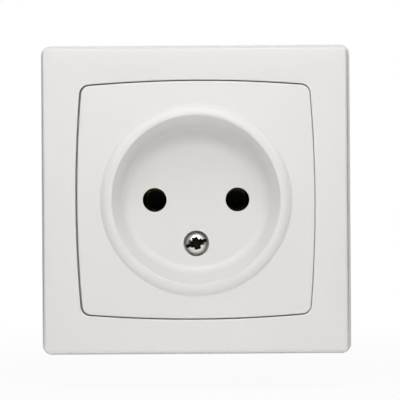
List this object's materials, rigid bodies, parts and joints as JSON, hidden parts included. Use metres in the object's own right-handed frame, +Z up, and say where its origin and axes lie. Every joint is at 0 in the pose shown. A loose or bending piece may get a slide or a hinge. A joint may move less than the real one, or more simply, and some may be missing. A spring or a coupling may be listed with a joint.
{
  "type": "surface mounted socket",
  "caption": "Square surface mounted wall socket: collared round plug well with pin holes, screwed cover, separate frame, and a wall box with cable entries and fixing slots.",
  "frame": {"origin": "middle of the back face, on the wall", "axes": "+Y into the wall, -Y towards the person who plugs in, +Z up, +X to the right seen from the front"},
  "size_m": [0.0706, 0.0393, 0.0706],
  "materials": {
    "box_plastic": "satin white moulded plastic",
    "frame_plastic": "satin white moulded plastic",
    "cover_plastic": "satin white moulded plastic",
    "carrier_plastic": "black moulded insulator",
    "contact_brass": "rolled strip",
    "spring_steel": "blued strip",
    "plated_steel": "nickel plated",
    "nylon": "natural nylon"
  },
  "bodies": {
    "root": {"surface_box": "box_plastic", "outer_frame": "frame_plastic", "socket_cover": "cover_plastic", "cover_screw": "plated_steel", "screw_retainer": "nylon", "captive_nut": "plated_steel", "contact_carrier": "carrier_plastic", "contact_left": "contact_brass", "contact_right": "contact_brass", "contact_spring_left": "spring_steel", "contact_spring_right": "spring_steel", "contact_rivets": "contact_brass", "clamp_saddles": "plated_steel", "terminal_screws": "plated_steel", "carrier_screws": "plated_steel"}
  },
  "joints": []
}
